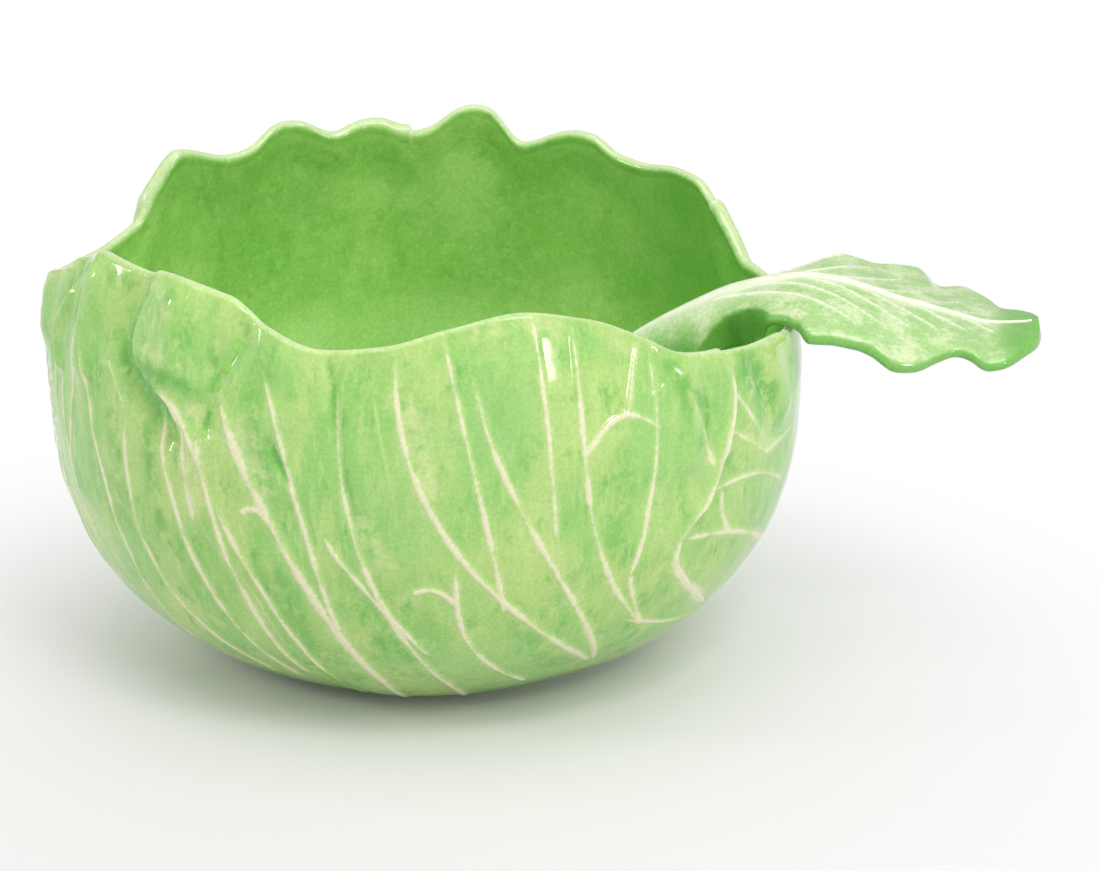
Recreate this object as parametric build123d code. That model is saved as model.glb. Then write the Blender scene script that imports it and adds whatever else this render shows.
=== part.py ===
from build123d import *
import math
import os

os.makedirs("parts", exist_ok=True)

# Driving dimensions, millimetres. The pot stands on its foot ring at the origin,
# the ladle lies along +X and its blade passes over the rim there.
foot_height = 4.0
foot_inner_radius = 76.0
foot_outer_radius = 88.0
base_radius = 90.0
leaf_base_radius = 97.0
leaf_base_gap = 0.5
floor_top = 10.5
floor_radius = 80.0
leaf_thickness = 3.0
raised_leaf = 1.6
ring_points = 120

scoop_centre = (-2.0, 6.5)
scoop_radius = 35.0
scoop_wall = 4.0
scoop_bottom = 11.3
scoop_top = 42.0
ladle_thickness = 4.0

# Height and radius of the outer face of the wall.
wall_profile = [
    (0, 92), (7, 106), (19, 121), (36, 136), (58, 146.5), (85, 152),
    (108, 152.5), (130, 150), (150, 145), (168, 138), (185, 129), (205, 116),
]

# Angle from +X, counter-clockwise, and height of the rim there.
rim_line = [
    (0, 130), (12, 127.5), (25, 127.5), (30, 141), (36, 160), (42, 161.5), (49, 160),
    (55, 161.5), (63, 170), (74, 163.3), (83, 179.5), (92, 169), (96, 167), (103, 171.5),
    (110, 168.3), (119, 175.3), (127, 167), (132, 165), (143, 171), (148, 158),
    (152, 144), (162, 140), (172, 144), (183, 150), (192, 156), (202, 165),
    (214, 175.5), (224, 174.7), (232, 176), (241, 173.5), (248, 165), (257, 159),
    (266, 161), (276, 167.5), (286, 171.8), (295, 165.8), (305, 156), (315, 146.5),
    (324, 143), (333, 138.5), (345, 133),
]

# Angle and outward lean of the rim.
rim_lean = [(0, 0), (60, 0), (83, 2), (95, 0), (119, 2), (150, 0), (170, 3), (183, 6),
            (194, 2), (214, 2), (250, -1), (286, 1.5), (310, 0), (340, 0)]

# Height and angle along the seam where each leaf begins, going counter-clockwise.
seams = {
    "front_leaf": [(-6, 259), (20, 254.6), (46, 249), (70, 243), (90, 238.5), (114, 236.6),
                   (127, 234.5), (140, 227.5), (148, 224.6), (200, 224.4)],
    "front_right_leaf": [(-6, 331), (30, 324), (46, 318), (60, 312.4), (71, 310.2),
                         (82, 314), (95, 317), (112, 319), (130, 321.3), (143, 320.4),
                         (200, 319)],
    "right_leaf": [(-6, 353), (60, 347), (110, 342.2), (128, 341), (137, 337.4), (200, 336)],
    "back_right_leaf": [(-6, 388), (90, 390), (150, 393), (200, 393)],
    "back_leaf": [(-6, 464), (90, 459), (150, 455), (200, 455)],
    "back_left_leaf": [(-6, 518), (80, 514), (140, 510), (200, 509)],
    "left_leaf": [(-6, 575), (60, 568), (120, 561), (147, 562.6), (161, 563.8), (200, 562)],
}
raised_leaves = ("front_leaf", "right_leaf", "back_leaf")
seam_levels = [-6, 8, 24, 40, 56, 70, 84, 98, 112, 126, 140, 156, 176, 200]

# Ridge of the ladle from the scoop up the stem and along the blade: x, y, height.
ridge_line = [
    (27.5, 5.1, 28), (29, 4.9, 37), (33, 4.6, 50), (38, 4.2, 64), (45.5, 3.6, 79),
    (56, 2.7, 93.5), (70, 1.6, 106.5), (84, 0.5, 117), (96, -0.8, 124.5), (110, -2.5, 132),
    (124, -4.1, 138.3), (141, -6.2, 143), (153, -8, 144.8), (164, -9.2, 143.9),
    (176, -10.6, 141), (188, -12, 137), (200, -13.4, 134), (212, -15, 131),
    (227, -17, 127.5), (240, -18.6, 127), (246, -19.3, 127.6),
]
# Along x: length of each side of the arched section and how steeply it falls away.
far_length = [(27, 11), (45, 13), (70, 17), (100, 21), (118, 22), (132, 18), (145, 18),
              (159, 27), (170, 41), (183, 46), (198, 53), (208, 46), (218, 46), (226, 42),
              (232, 24), (240, 18), (246, 5)]
far_slope = [(27, 66), (100, 64), (118, 50), (132, 30), (148, 12), (160, 3), (246, 3)]
near_length = [(27, 11), (45, 13), (70, 18), (100, 24), (118, 25), (130, 24), (142, 30),
               (150, 38), (157, 46), (168, 43), (178, 41), (190, 46), (200, 42), (210, 33),
               (220, 34), (228, 31), (236, 21), (246, 4)]
near_slope = [(27, 66), (100, 64), (118, 52), (130, 30), (138, 14), (150, 13), (246, 13)]
stem_stations = [27.5, 29, 31.5, 35, 40, 47, 56, 66, 76, 86, 96, 106, 113, 118]
rib_stations = [78, 88, 98, 108, 118, 130, 142, 154, 166, 178, 190, 202, 214, 226, 236, 243]
blade_stations = [118, 123, 129, 136, 143, 150, 157, 164, 171, 178, 186, 194, 202, 210, 218,
                  225, 231, 237, 242, 246]


def smooth(knots, x, period=None):
    """Smooth curve through the knots that never swings past them."""
    points = list(knots)
    if period:
        x = x % period
        points = [(a - period, b) for a, b in knots[-2:]] + points
        points += [(a + period, b) for a, b in knots[:2]]
    x = min(max(x, points[0][0]), points[-1][0])
    i = 0
    while i < len(points) - 2 and x > points[i + 1][0]:
        i += 1

    def secant(k):
        return (points[k + 1][1] - points[k][1]) / (points[k + 1][0] - points[k][0])

    def tangent(k):
        if k == 0:
            return secant(0)
        if k == len(points) - 1:
            return secant(k - 1)
        before, after = secant(k - 1), secant(k)
        if before * after <= 0:
            return 0.0
        return 2 * before * after / (before + after)

    (x0, y0), (x1, y1) = points[i], points[i + 1]
    step = x1 - x0
    t = (x - x0) / step
    return (
        (2 * t**3 - 3 * t**2 + 1) * y0
        + (t**3 - 2 * t**2 + t) * step * tangent(i)
        + (3 * t**2 - 2 * t**3) * y1
        + (t**3 - t**2) * step * tangent(i + 1)
    )


def wall_point(angle, share, below, inset):
    """Point on the wall. share runs from the base (0) to the rim (1), below is a
    distance down from there and inset is measured inwards from the outer face."""
    top = smooth(rim_line, angle, 360)
    z = foot_height + share * (top - foot_height) - below
    r = smooth(wall_profile, z)
    r += smooth(rim_lean, angle, 360) * max(0.0, (z - 90) / (top - 90)) ** 2
    slope = (smooth(wall_profile, z + 2) - smooth(wall_profile, z - 2)) / 4
    length = math.hypot(1, slope)
    r -= inset / length
    z += inset * slope / length
    turn = math.radians(angle)
    return (r * math.cos(turn), r * math.sin(turn), z)


def closed_spline(points):
    """Closed curve with evenly numbered points, so that neighbouring rings match."""
    count = len(points)
    numbers = [i / count for i in range(count + 1)]
    return Wire([Edge.make_spline(points, periodic=True, parameters=numbers)])


def wall_ring(share, below, inset):
    """Wavy ring round the pot at one station of the wall."""
    step = 360 / ring_points
    return closed_spline([wall_point(i * step, share, below, inset) for i in range(ring_points)])


def flat_ring(radius, z):
    """Round ring at one height."""
    step = 2 * math.pi / ring_points
    return closed_spline(
        [(radius * math.cos(i * step), radius * math.sin(i * step), z) for i in range(ring_points)]
    )


def pot_liner():
    """Inner pot: up the seam face, over the lip, down the inside to the floor."""
    rings = [flat_ring(base_radius, foot_height)]
    for share in (0.05, 0.11, 0.2, 0.32, 0.46, 0.6, 0.74, 0.86):
        rings.append(wall_ring(share, 0, leaf_thickness))
    for below, inset in ((9, 2.8), (4.5, 2.6), (2.8, 2.1), (1.6, 1.1), (0.5, 1.3),
                         (-0.1, 2.9), (0.5, 4.6), (2.0, 5.6), (5.0, 5.9), (10, 6.2)):
        rings.append(wall_ring(1, below, inset))
    for share, inset in ((0.86, 6.6), (0.74, 7), (0.6, 7), (0.46, 7), (0.32, 7), (0.2, 7),
                         (0.12, 7.5)):
        rings.append(wall_ring(share, 0, inset))
    rings.append(flat_ring(97, 15))
    rings.append(flat_ring(91, 11.6))
    rings.append(flat_ring(floor_radius, floor_top))
    return Solid.make_loft(rings)


def leaf_shell(lift):
    """Cup whose outer skin is the outside of the leaves and whose inner skin runs
    inside the thickness of the liner."""
    under = foot_height + leaf_base_gap
    middle = (foot_height + floor_top) / 2
    rings = [flat_ring(leaf_base_radius, under)]
    for share, part in ((0.04, 0), (0.1, 0.5), (0.2, 1), (0.32, 1), (0.46, 1), (0.6, 1),
                        (0.74, 1), (0.86, 1)):
        rings.append(wall_ring(share, 0, -lift * part))
    for below, inset in ((9, -lift * 0.8), (5, -lift * 0.5), (3.4, 0), (2.6, 0.6),
                         (2.2, 1.8), (2.6, 3.2), (4.2, 4), (9, 4.4)):
        rings.append(wall_ring(1, below, inset))
    for share in (0.86, 0.74, 0.6, 0.46, 0.32, 0.2, 0.12):
        rings.append(wall_ring(share, 0, 5))
    rings.append(flat_ring(96, middle + 4))
    rings.append(flat_ring(88, middle + 0.4))
    rings.append(flat_ring(78, middle))
    return Solid.make_loft(rings)


def sector(seam, span):
    """Wedge that begins at a curved seam and spans some degrees beyond it."""
    sections = []
    for z in seam_levels:
        start = smooth(seam, z)
        corners = []
        for k in range(4):
            turn = math.radians(start + span * k / 3)
            corners.append((250 * math.cos(turn), 250 * math.sin(turn), z))
        for k in (3, 0):
            turn = math.radians(start + span * k / 3)
            corners.append((45 * math.cos(turn), 45 * math.sin(turn), z))
        sections.append(Wire.make_polygon(corners, close=True))
    return Solid.make_loft(sections)


def ladle_frame(x):
    """Ridge point, sideways direction and upward normal of the ladle at one place."""
    heights = [(p[0], p[2]) for p in ridge_line]
    centre = Vector(x, smooth([(p[0], p[1]) for p in ridge_line], x), smooth(heights, x))
    rise = (smooth(heights, x + 1) - smooth(heights, x - 1)) / 2
    along = Vector(1, -0.12, rise).normalized()
    sideways = Vector(0.12, 1, 0).normalized()
    return centre, sideways, along.cross(sideways).normalized()


def arched_side(length, slope, thickness):
    """One side of the arched section: offsets of its upper face, then its lower face."""
    upper, lower = [], []
    across = down = before = 0.0
    for share in (0.0, 0.12, 0.26, 0.42, 0.6, 0.8, 0.97):
        turn = math.radians(slope) * min(1.0, share / 0.7)
        step = (share - before) * length
        across += step * math.cos(turn)
        down += step * math.sin(turn)
        before = share
        upper.append((across, -down))
        lower.append((across - thickness * math.sin(turn), -down - thickness * math.cos(turn)))
    return upper, lower


def ladle_outline(x):
    """Points round the thin arched section across the ladle, sideways and upward."""
    thickness = ladle_thickness
    sides = []
    for lengths, slopes, way in ((far_length, far_slope, 1), (near_length, near_slope, -1)):
        length, slope = smooth(lengths, x), smooth(slopes, x)
        upper, lower = arched_side(length, slope, thickness)
        turn = math.radians(slope)
        edge = (
            (upper[-1][0] + lower[-1][0]) / 2 + 0.4 * thickness * math.cos(turn),
            (upper[-1][1] + lower[-1][1]) / 2 - 0.4 * thickness * math.sin(turn),
        )
        sides.append([[(way * a, b) for a, b in upper], (way * edge[0], edge[1]),
                      [(way * a, b) for a, b in lower]])
    far, near = sides
    upper = list(reversed(far[0])) + near[0][1:]
    lower = list(reversed(near[2])) + far[2][1:]
    return upper, near[1], lower, far[1]


def ladle_section(x):
    """Thin arched section across the ladle with rounded edges."""
    centre, sideways, upward = ladle_frame(x)

    def place(pair):
        return centre + sideways * pair[0] + upward * pair[1]

    upper, near_edge, lower, far_edge = ladle_outline(x)
    upper, lower = [place(p) for p in upper], [place(p) for p in lower]
    return Wire([
        Edge.make_spline(upper),
        Edge.make_three_point_arc(upper[-1], place(near_edge), lower[0]),
        Edge.make_spline(lower),
        Edge.make_three_point_arc(lower[-1], place(far_edge), upper[0]),
    ])


def rib_section(x):
    """Low arch that stands on the ladle along its ridge."""
    centre, sideways, upward = ladle_frame(x)
    half = smooth([(76, 3), (112, 7), (160, 6), (200, 4.5), (246, 2)], x)
    tall = smooth([(76, 0.6), (112, 1.8), (130, 2.2), (200, 2), (246, 1)], x)
    shape = [(0, tall), (0.5, tall * 0.8), (0.85, tall * 0.1), (1, -1.6), (0, -2.2),
             (-1, -1.6), (-0.85, tall * 0.1), (-0.5, tall * 0.8)]
    return closed_spline([centre + sideways * (u * half) + upward * v for u, v in shape])


def cup(radius, bottom, top):
    """Round-bottomed cup shape, filled, standing on a small flat."""
    flat = radius * 0.42
    with BuildPart() as made:
        with BuildSketch(Plane.XZ):
            with BuildLine():
                Polyline((0, top), (0, bottom), (flat, bottom))
                Spline((flat, bottom), (radius * 0.8, bottom + (top - bottom) * 0.3), (radius, top),
                       tangents=[(1, 0), (0.12, 1)])
                Line((radius, top), (0, top))
            make_face()
        revolve(axis=Axis.Z)
    return made.part.moved(Location((scoop_centre[0], scoop_centre[1], 0)))


# The pot: liner, seven leaves round it, foot ring underneath.
liner = pot_liner()
export_step(liner, "parts/bowl_liner.step")

shells = {lift: leaf_shell(lift) - liner for lift in (0.0, raised_leaf)}
wedges = {name: sector(seam, 125) for name, seam in seams.items()}
names = list(seams)
for number, name in enumerate(names):
    following = names[(number + 1) % len(names)]
    lift = raised_leaf if name in raised_leaves else 0.0
    leaf = (shells[lift] & wedges[name]) - wedges[following]
    export_step(leaf, f"parts/{name}.step")

with BuildPart() as foot:
    with BuildSketch(Plane.XZ):
        width = foot_outer_radius - foot_inner_radius
        with Locations(((foot_outer_radius + foot_inner_radius) / 2, foot_height / 2)):
            Rectangle(width, foot_height)
    revolve(axis=Axis.Z)
    fillet(foot.edges().group_by(Axis.Z)[0], 1.4)
export_step(foot.part, "parts/foot_ring.step")

# The ladle: scoop on the floor, stem, leaf blade and the rib along it.
scoop_body = cup(scoop_radius, scoop_bottom, scoop_top)
scoop_hollow = cup(scoop_radius - scoop_wall, scoop_bottom + scoop_wall, scoop_top + 0.01)
scoop = scoop_body - scoop_hollow
scoop = fillet(scoop.edges().group_by(Axis.Z)[-1], 1.6)
export_step(scoop, "parts/ladle_scoop.step")

stem = Solid.make_loft([ladle_section(x) for x in stem_stations]) - scoop_body
export_step(stem, "parts/ladle_stem.step")
blade = Solid.make_loft([ladle_section(x) for x in blade_stations])
export_step(blade, "parts/ladle_leaf.step")

rib = Solid.make_loft([rib_section(x) for x in rib_stations]) - blade - stem
export_step(rib, "parts/ladle_midrib.step")
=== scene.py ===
import bpy
import math
import numpy as np
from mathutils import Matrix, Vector


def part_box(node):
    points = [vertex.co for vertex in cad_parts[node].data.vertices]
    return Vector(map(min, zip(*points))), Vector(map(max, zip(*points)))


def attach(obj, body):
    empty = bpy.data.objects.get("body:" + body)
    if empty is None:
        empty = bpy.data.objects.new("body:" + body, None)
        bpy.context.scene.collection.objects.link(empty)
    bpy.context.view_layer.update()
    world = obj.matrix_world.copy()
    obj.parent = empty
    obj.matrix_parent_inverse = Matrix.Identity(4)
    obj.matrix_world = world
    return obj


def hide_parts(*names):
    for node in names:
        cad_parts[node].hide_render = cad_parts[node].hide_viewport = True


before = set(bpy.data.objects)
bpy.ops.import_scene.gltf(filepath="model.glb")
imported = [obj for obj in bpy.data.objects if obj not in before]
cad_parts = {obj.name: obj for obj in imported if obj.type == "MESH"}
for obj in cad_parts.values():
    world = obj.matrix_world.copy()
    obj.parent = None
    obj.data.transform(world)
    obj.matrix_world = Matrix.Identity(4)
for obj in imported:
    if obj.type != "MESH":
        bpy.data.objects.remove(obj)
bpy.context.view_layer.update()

# Lengths below are millimetres of the CAD design. `mm` turns them into metres of the
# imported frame, whatever size that was packed at.
liner_low, liner_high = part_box("bowl_liner")
mm = (liner_high.x - liner_low.x) / 299.8

# ---------------------------------------------------------------- shape of the pot

# RIM_LINE, SEAMS, RIDGE, NEAR_LENGTH and FAR_LENGTH, and some points of FOLDS, GLAZE_POOLS_AND_SHADE and
# PATCHES, started from a helper program's output: see "Rule not met" in report.md.
FOOT_HEIGHT = 4.0
FLOOR_TOP = 10.5
WALL_PROFILE = [
    (0, 92), (7, 106), (19, 121), (36, 136), (58, 146.5), (85, 152),
    (108, 152.5), (130, 150), (150, 145), (168, 138), (185, 129), (205, 116),
]
RIM_LINE = [
    (0, 130), (12, 127.5), (25, 127.5), (30, 141), (36, 160), (42, 161.5), (49, 160),
    (55, 161.5), (60.3, 169.2), (63, 170), (65.7, 169.3), (74, 163.3), (80.4, 178.6),
    (83, 179.5), (85.6, 178.4), (92, 169), (96, 167), (101, 171.1), (103, 171.5), (105.5, 171),
    (110, 168.3), (116.5, 174.6), (119, 175.3), (121.5, 174.4), (127, 167), (132, 165),
    (140.5, 170.2), (143, 171), (145, 168), (148, 158), (152, 144), (162, 139), (172, 141),
    (183, 147), (192, 155), (202, 165),
    (214, 175.5), (224, 174.7), (232, 176), (241, 173.5), (248, 165), (257, 159),
    (266, 161), (276, 167.5), (286, 171.8), (297, 166.6), (306, 156.5), (311, 148.5),
    (316, 145), (324, 141.5), (333, 138.5), (345, 133),
]
RIM_LEAN = [(0, 0), (30, 0), (42, 1.5), (50, 0), (63, 3), (73, -3), (83, 5), (93, -3.5), (103, 2.5),
            (110, -2), (119, 4.5), (129, -3), (142, 2.5), (150, 0), (170, 3), (183, 6), (196, 2), (206, 1),
            (214, 3), (224, 1), (233, 3), (247, -1), (262, -2), (286, 2.5), (305, 0.5),
            (316, 1.5), (321, 0), (328, 1.5), (340, 0)]
LIP_RADIUS = 2.3

# Height and angle along the seam where each leaf begins, going counter-clockwise.
SEAMS = {
    "front_leaf": [(0, 258), (18, 255), (30, 253), (42, 249), (66, 246), (78, 242), (90, 238.7),
                   (107, 237.0), (115, 237.2), (120, 237), (124, 236.4), (128, 234.9), (133, 233.2),
                   (137, 231), (142, 228.5), (148, 226.4), (155, 226), (162, 226.4), (168, 227.3),
                   (175, 226.6), (200, 226.6)],
    "front_right_leaf": [(0, 330), (36, 324), (47, 318), (60, 312.5), (67, 310.3), (74, 310.4),
                         (80, 312.3), (88, 315.8), (95, 317), (112, 319.3), (124, 321),
                         (130, 321.4), (143, 320), (200, 318)],
    "right_leaf": [(0, 353), (60, 347), (110, 342.2), (128, 341), (137, 337.4), (200, 336)],
    "back_right_leaf": [(0, 388), (90, 390), (150, 393), (200, 393)],
    "back_leaf": [(0, 464), (90, 459), (150, 455), (200, 455)],
    "back_left_leaf": [(0, 518), (80, 514), (140, 510), (200, 509)],
    "left_leaf": [(0, 572), (60, 566), (98, 562), (120, 561), (138, 562), (147, 563.7),
                  (154, 565.9), (159, 564.7), (165, 562), (200, 561)],
}
# How far each leaf's first and last edge stands off the wall at each height, and the
# spacing of its mesh. None is an edge that runs on under its neighbour.
LEAVES = {
    "front_leaf": ([(0, 0.7), (30, 0.6), (90, 0.3), (112, 0.8), (124, 2.4), (138, 4.4), (160, 4.4),
                    (180, 3.0)],
                   [(0, 0.7), (38, 1.6), (60, 2.6), (80, 3.0), (112, 3.2), (130, 3.6), (150, 2.6)],
                   0.8),
    "front_right_leaf": (None, [(0, 0.3), (90, 0.4), (112, 1.4), (137, 1.9)], 0.8),
    "right_leaf": (None, [(0, 0.3), (60, 1.6), (130, 2.6)], 1.1),
    "back_right_leaf": (None, None, 1.2),
    "back_leaf": ([(0, 0.5), (60, 2.4), (150, 3.6)], [(0, 0.5), (60, 2.2), (150, 3.6)], 1.2),
    "back_left_leaf": (None, None, 1.2),
    "left_leaf": ([(0, 0.3), (90, 0.5), (120, 1.8), (147, 3.2), (165, 2.6)], None, 0.8),
}

# Veins, each worked out from its two ends: half-width at the head and foot, strength, how late
# it sweeps sideways (1 is even), how far it arches up, then angle and height of head and foot.
VEINS = [
    (0.7, 0.8, 0.8, 1.5, 0, (192, 125), (209, 55)),
    (0.7, 0.9, 0.9, 2.0, 0, (206, 130), (217, 40)),
    (0.9, 0.7, 1.0, 1.0, 0, (213, 150), (208, 90)),
    (0.8, 1.0, 1.0, 1.2, 0, (215, 140), (227, 25)),
    (0.7, 0.5, 0.7, 1.0, 0, (220, 140), (225, 125)),
    (0.8, 1.1, 1.0, 2.5, 0, (225, 120), (242, 15)),
    (0.9, 1.2, 1.0, 1.5, 0, (232, 130), (247, 15)),
    (1.5, 2.6, 0.8, 0.5, 0, (234, 135), (238, 90)),
    (1.5, 1.2, 0.9, 1.0, 8, (232, 135), (240, 110)),
    (1.0, 1.2, 1.0, 1.2, 0, (239, 125), (250, 20)),
    (1.9, 1.6, 1.0, 1.0, 0, (242, 140), (267, 5)),
    (1.1, 0.8, 1.0, 1.4, 12, (242, 100), (256, 15)),
    (1.0, 0.9, 1.0, 1.0, 3, (246, 97), (250, 96)),
    (0.8, 1.2, 1.0, 0.8, 0, (249, 150), (259, 50)),
    (0.9, 1.0, 1.0, 1.3, 4, (258, 92), (272, 40)),
    (0.8, 1.5, 1.0, 2.2, 0, (260, 145), (281, 0)),
    (0.6, 0.7, 0.5, 1.0, 0, (265, 145), (268, 105)),
    (0.8, 1.5, 1.0, 2.2, 0, (268, 160), (302, 20)),
    (0.8, 1.0, 1.0, 1.0, 4, (270, 70), (276, 65)),
    (0.9, 1.1, 1.0, 3.0, 0, (276, 80), (290, 15)),
    (0.7, 1.1, 1.0, 1.0, 0, (275, 165), (283, 60)),
    (0.8, 1.3, 1.0, 1.4, 0, (279, 150), (303, 20)),
    (0.7, 1.0, 1.0, 1.0, 0, (288, 170), (290, 90)),
    (0.8, 1.3, 1.0, 4.0, 0, (294, 165), (307, 40)),
    (1.1, 1.0, 1.0, 1.0, 10, (294, 118), (306, 124)),
    (0.8, 0.9, 0.9, 1.0, 0, (304, 155), (301, 130)),
    (0.8, 1.0, 1.0, 2.0, 0, (306, 150), (302, 68)),
    (1.0, 1.3, 1.0, 1.5, 0, (302, 68), (307, 40)),
    (0.9, 0.7, 0.9, 1.0, -3, (303, 45), (330, 28)),
    (1.2, 2.0, 0.7, 1.0, 0, (311, 135), (316, 103)),
    (1.0, 2.2, 0.7, 1.0, 0, (322, 127), (331, 96)),
    (1.0, 1.8, 0.7, 1.0, 0, (321, 112), (331, 95)),
    (1.6, 0.9, 0.7, 1.0, 0, (330, 95), (342, 97)),
    (1.2, 1.0, 0.8, 1.0, 5, (317, 91), (338, 77)),
    (1.1, 0.9, 1.0, 2.5, 0, (319, 90), (323, 68)),
    (1.1, 1.7, 0.85, 1.0, 4, (312, 75), (338, 50)),
]
# Folds and bulges: height (negative for a groove), half-width, then angle and height.
FOLDS = [
    (-3.0, 5.0, [(247, 174), (245.3, 166), (244, 157), (242, 148), (241.2, 139), (240.4, 128)]),
    (3.2, 9.0, [(234, 178), (234, 163), (234.5, 149)]),
    (-1.6, 6.0, [(229.5, 139), (234, 133), (239, 133)]),
    (1.8, 10.0, [(251, 164), (251.5, 152), (252, 136)]),
    (-1.3, 2.2, [(258.5, 158), (259.3, 143), (260.3, 125), (261.3, 107), (262, 98)]),
    (-1.1, 1.8, [(250.5, 125), (252, 118), (253.5, 111)]),
    (4.6, 8.0, [(213.5, 178), (213.5, 162), (213.5, 148), (214, 136)]),
    (-3.4, 5.5, [(223.5, 174), (222.5, 158), (222.5, 147), (226, 136), (231, 128), (234, 120)]),
    (2.2, 3.0, [(203, 166), (205, 158), (206, 153), (204.3, 146), (203, 138), (205, 128)]),
    (3.2, 9.0, [(190, 164), (190.5, 148), (192, 132)]),
    (-3.6, 4.5, [(200, 168), (200.5, 152), (199.5, 138), (199.5, 120)]),
    (-2.4, 5.0, [(181, 152), (181.5, 138), (183, 122)]),
    (1.6, 20.0, [(286, 174), (285.5, 150)]),
    (-1.2, 2.5, [(306.5, 157), (306.2, 150), (306.4, 140)]),
    (1.8, 5.0, [(311.5, 150), (311.5, 125), (311, 108)]),
    (-2.0, 3.6, [(315.3, 146), (316.2, 124), (315.2, 106)]),
    (1.2, 3.0, [(318.6, 143), (319.3, 124), (317.8, 108)]),
    (-1.8, 4.0, [(325.5, 142), (328.5, 128), (331.5, 115)]),
    (1.6, 7.0, [(333, 138), (334, 124), (336, 110)]),
    (-1.0, 2.4, [(252.5, 26), (256, 14), (260, 5)]),
]
# Deep green that is partly glaze pooled in hollows and partly painted shade, laid along creases, grooves
# and beside raised leaf edges: strength, half-width, then the route.
GLAZE_POOLS_AND_SHADE = [
    (0.9, 5.0, [(225.5, 165), (223.5, 152), (223.2, 143), (227.5, 137), (232.8, 129)]),
    (0.7, 4.0, [(228.5, 143.5), (233, 142.5), (238, 141)]),
    (0.5, 5.0, [(207.5, 166), (210.4, 160), (213, 150)]),
    (0.7, 2.2, [(240.8, 152), (241, 142), (240.3, 130), (240, 122)]),
    (0.6, 3.5, [(245.2, 170), (244.7, 160), (243.5, 152)]),
    (0.6, 3.0, [(232.8, 171), (233, 167)]),
    (0.7, 1.6, [(258.6, 156), (259.4, 142), (260.4, 125), (261.2, 110)]),
    (0.8, 1.8, [(250.6, 125), (252, 118), (253.6, 111)]),
    (0.5, 7.0, [(249, 150), (247.5, 138), (249, 122)]),
    (0.7, 5.0, [(309.5, 146), (311, 134), (314.8, 126), (313.5, 114)]),
    (0.95, 8.0, [(325.5, 142), (327.5, 128), (331, 118)]),
    (0.6, 5.0, [(320, 100), (324, 96)]),
    (0.5, 6.0, [(300, 118), (300.5, 100), (299, 84)]),
    (0.5, 7.0, [(284, 60), (288, 40), (294, 24)]),
    (0.5, 6.0, [(221.5, 120), (222.5, 100), (223, 80)]),
    (0.6, 5.0, [(230, 118), (230.5, 100), (232, 80)]),
    (0.5, 7.0, [(251, 70), (253, 50), (256, 34)]),
    (0.5, 7.0, [(266, 60), (268, 44), (272, 28)]),
]
# Creamy or yellower patches of glaze on the outside: strength, half-width, then the route.
PATCHES = [
    (0.9, 5.0, [(238.3, 132), (239, 118), (239, 100)]),
    (1.0, 4.0, [(246.5, 131), (248, 121), (250, 108)]),
    (1.0, 3.6, [(229.5, 148.5), (233, 149), (236, 149)]),
    (0.8, 3.0, [(228.5, 172), (231, 169), (234, 162), (235.5, 156)]),
    (0.9, 1.6, [(240.8, 158), (240.8, 154)]),
    (0.8, 3.5, [(207, 171), (210, 171)]),
    (0.7, 5.0, [(263, 100), (266, 84), (270, 64)]),
    (0.9, 7.0, [(269, 146), (271, 130), (272.5, 112)]),
    (0.9, 5.0, [(278, 166), (286, 169), (291, 166)]),
    (0.5, 9.0, [(287, 100), (290, 82), (293, 62)]),
    (0.6, 7.0, [(299, 160), (304, 155)]),
    (0.8, 3.0, [(311.5, 134), (313, 120), (315, 106)]),
    (0.6, 6.0, [(306, 100), (307, 80), (307, 62)]),
    (0.9, 4.0, [(324, 112), (329, 100), (334, 95)]),
    (0.7, 3.0, [(320, 145), (321.5, 136), (322, 128)]),
    (0.5, 6.0, [(258, 40), (263, 20), (270, 8)]),
]


def curve(knots, x, period=None):
    """Smooth curve through (x, y) knots that never swings past them."""
    knots = np.array(knots, float)
    x = np.asarray(x, float)
    if period:
        x = np.mod(x, period)
        knots = np.vstack([knots[-2:] - [period, 0], knots, knots[:2] + [period, 0]])
    xs, ys = knots[:, 0], knots[:, 1]
    x = np.clip(x, xs[0], xs[-1])
    step = np.diff(xs)
    secant = np.diff(ys) / step
    both = secant[:-1] * secant[1:]
    total = secant[:-1] + secant[1:]
    slope = np.empty_like(xs)
    slope[0], slope[-1] = secant[0], secant[-1]
    slope[1:-1] = np.where(both > 0, 2 * both / np.where(both > 0, total, 1), 0)
    i = np.clip(np.searchsorted(xs, x, side="right") - 1, 0, len(xs) - 2)
    t = (x - xs[i]) / step[i]
    return ((2 * t**3 - 3 * t**2 + 1) * ys[i] + (t**3 - 2 * t**2 + t) * step[i] * slope[i]
            + (3 * t**2 - 2 * t**3) * ys[i + 1] + (t**3 - t**2) * step[i] * slope[i + 1])


def smoothstep(low, high, x):
    t = np.clip((x - low) / (high - low), 0, 1)
    return t * t * (3 - 2 * t)


def rim(angle):
    return curve(RIM_LINE, angle, 360)


def wall(angle, height, offset=0.0, rise=0.0):
    """Points on the pot in millimetres: angle and height on the outer face of the wall,
    offset outwards from it and rise along it."""
    height = np.asarray(height, float)
    top = rim(angle)
    r = curve(WALL_PROFILE, height)
    r = r + curve(RIM_LEAN, angle, 360) * np.clip((height - 90) / (top - 90), 0, 1.1) ** 2
    slope = (curve(WALL_PROFILE, height + 2) - curve(WALL_PROFILE, height - 2)) / 4
    length = np.sqrt(1 + slope**2)
    r = r + (offset + rise * slope) / length
    z = height + (rise - offset * slope) / length
    turn = np.radians(angle)
    return np.stack([r * np.cos(turn), r * np.sin(turn), z + 0 * r], -1)


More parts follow.
